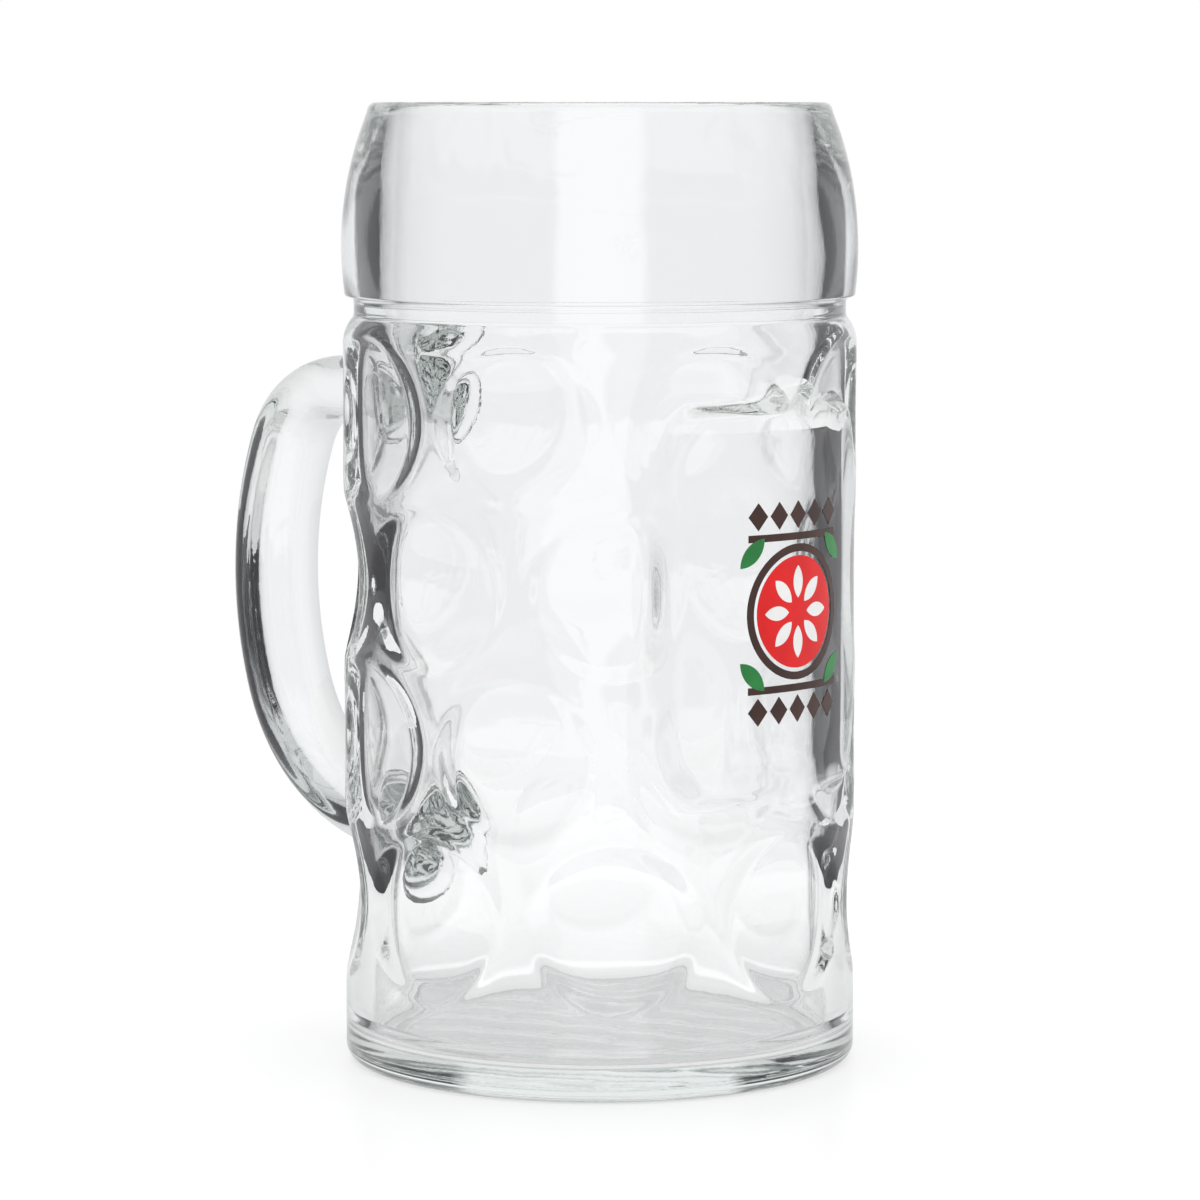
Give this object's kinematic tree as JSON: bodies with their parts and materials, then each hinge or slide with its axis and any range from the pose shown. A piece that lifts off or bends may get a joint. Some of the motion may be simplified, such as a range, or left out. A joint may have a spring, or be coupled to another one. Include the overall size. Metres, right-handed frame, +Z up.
{
  "type": "dimpled glass beer mug",
  "caption": "Heavy pressed-glass beer mug with round dimples, a smooth barrel lip, a print panel with a fired-on ornament, and a D-shaped glass handle.",
  "frame": {"origin": "the vessel's axis at the level of the foot ring, which is the surface that the mug stands on", "axes": "+Z up along the vessel's axis, +X through the middle of the smooth print panel, the handle on -X"},
  "size_m": [0.1572, 0.1074, 0.2],
  "materials": {
    "clear_glass": "fire-polished clear soda-lime glass with a faint grey-green tint in thick edges",
    "handle_glass": "fire-polished clear soda-lime glass",
    "enamel_red": null,
    "enamel_white": "fired-on glossy enamel",
    "enamel_brown": "fired-on glossy enamel with a slight metallic sheen",
    "enamel_green": "fired-on glossy enamel"
  },
  "bodies": {
    "root": {"mug_body": "clear_glass", "handle": "handle_glass", "print_red": "enamel_red", "print_white": "enamel_white", "print_brown": "enamel_brown", "print_green": "enamel_green"}
  },
  "joints": []
}
